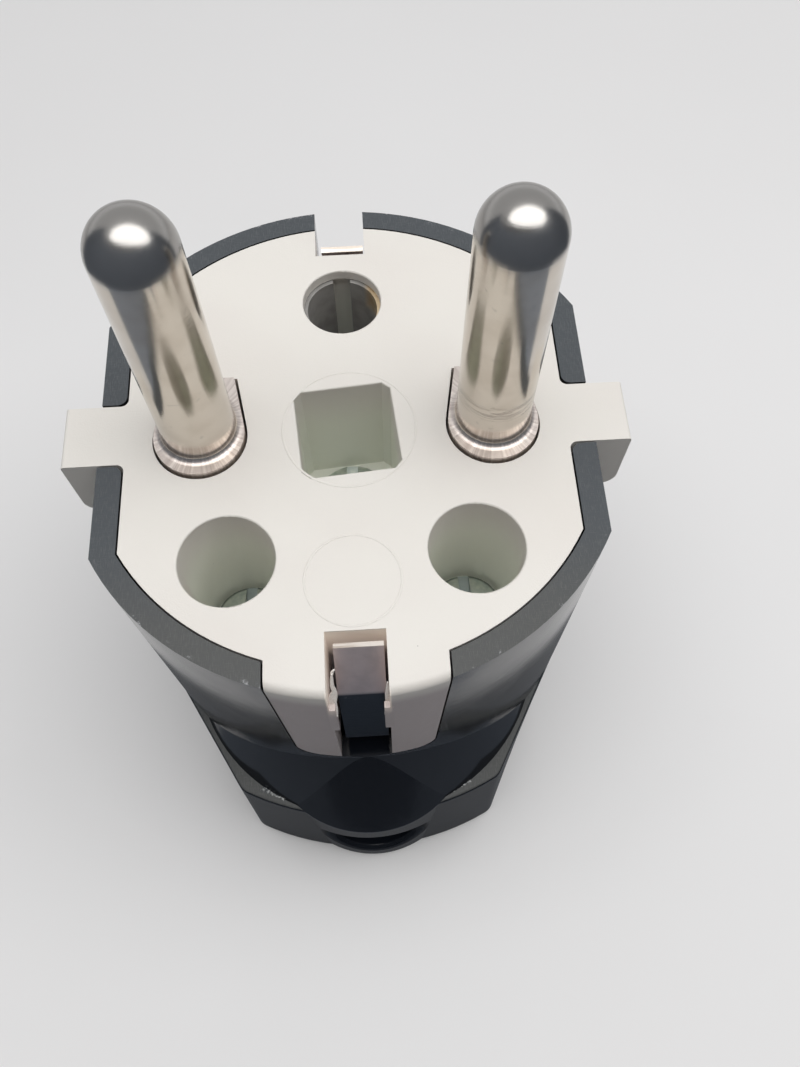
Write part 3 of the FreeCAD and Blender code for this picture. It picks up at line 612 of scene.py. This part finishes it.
world = bpy.data.worlds.new("studio")
bpy.context.scene.world = world
world.use_nodes = True
sky_tree = world.node_tree
direction = Field(sky_tree, sky_tree.nodes.new("ShaderNodeTexCoord").outputs["Generated"])
north, up = direction.parts()[1:]
sky_level = SKY_FRONT + north.ramp(-0.45, 0.45) * SKY_RISE
horizon = up.ramp(0.32, 0.10)
shown_level = sky_level + (HORIZON_LEVEL - sky_level) * horizon
level = sky_level + (shown_level - sky_level) * seen_directly(sky_tree)
backdrop = sky_tree.nodes["Background"]
backdrop.inputs["Color"].default_value = (0.97, 0.98, 1.0, 1.0)
sky_tree.links.new(level.socket, backdrop.inputs["Strength"])
print("panel of", PANEL_WATTS, "W, sky from", SKY_FRONT, "to", round(SKY_FRONT + SKY_RISE, 2))

# %% [markdown]
# Dark cloth hangs in front and at the sides, and its front hem lies on the table, as in any
# studio that shoots bright metal. Only mirrors see it: it darkens the pins' round ends and
# the cover's lower front. It is a cylinder with no ends, cut open at the back, and its
# lower front edge is extruded and drawn in to make the hem.

# %% Dark cloth for the metal
CLOTH_REACH_X = 0.080
CLOTH_REACH_Y = 0.058
CLOTH_BACK_Y = 0.030
CLOTH_HEIGHT = 0.125
CLOTH_LOW_Z = 0.0005
CLOTH_LAID_Y = -0.018
CLOTH_LAID_SHARE = 0.45
bpy.ops.mesh.primitive_cylinder_add(vertices=64, radius=1, depth=CLOTH_HEIGHT,
                                    end_fill_type="NOTHING",
                                    location=(0, 0, CLOTH_LOW_Z + CLOTH_HEIGHT / 2))
cloth = bpy.context.object
cloth.name = "dark_cloth"
bpy.ops.object.mode_set(mode="EDIT")
bpy.ops.mesh.select_all(action="SELECT")
bpy.ops.transform.resize(value=(CLOTH_REACH_X, CLOTH_REACH_Y, 1))
bpy.ops.mesh.bisect(plane_co=(0, CLOTH_BACK_Y, 0), plane_no=(0, 1, 0), clear_outer=True)
bpy.ops.mesh.select_all(action="DESELECT")
bpy.ops.object.mode_set(mode="OBJECT")
bpy.ops.object.transform_apply(location=True, rotation=True, scale=True)
for vertex in cloth.data.vertices:
    vertex.select = vertex.co.z < CLOTH_LOW_Z + MM and vertex.co.y < CLOTH_LAID_Y
bpy.ops.object.mode_set(mode="EDIT")
bpy.ops.mesh.extrude_region_move()
bpy.ops.transform.resize(value=(CLOTH_LAID_SHARE, CLOTH_LAID_SHARE, 1),
                         center_override=(0, 0, 0))
bpy.ops.object.mode_set(mode="OBJECT")
felt = Finish("dark_felt", Roughness=0.9)
felt.set("Base Color", mix_colour(felt.place.noise(0.5), (0.22, 0.25, 0.30), (0.28, 0.31, 0.36)))
cloth.data.materials.append(felt.material)
cloth.visible_camera = False
cloth.visible_diffuse = False
cloth.visible_shadow = False
print("cloth has", len(cloth.data.polygons), "faces")

# %% [markdown]
# The camera stands where the photograph was taken: close, in front and above, looking
# down at the pins. Its place is in the same frame as the solids.

# %% Camera
EYE = Vector((1.683, -32.114, FACE_MM + 51.368)) * MM
LOOK_AT = Vector((2.998, -8.078, FACE_MM)) * MM
ROLL_DEGREES = -0.26
LENS_MM = 31.15
camera_data = bpy.data.cameras.new("camera")
camera_data.lens = LENS_MM
camera_data.sensor_width = 36.0
camera_data.sensor_fit = "AUTO"
camera_data.clip_start = 0.001
camera = bpy.data.objects.new("camera", camera_data)
camera.location = EYE
sight = (LOOK_AT - EYE).to_track_quat("-Z", "Y")
camera.rotation_mode = "QUATERNION"
camera.rotation_quaternion = sight @ Quaternion((0, 0, 1), math.radians(ROLL_DEGREES))
bpy.context.collection.objects.link(camera)
bpy.context.scene.camera = camera
bpy.context.scene.view_settings.view_transform = "Standard"
print("camera", [round(v / MM, 1) for v in EYE])
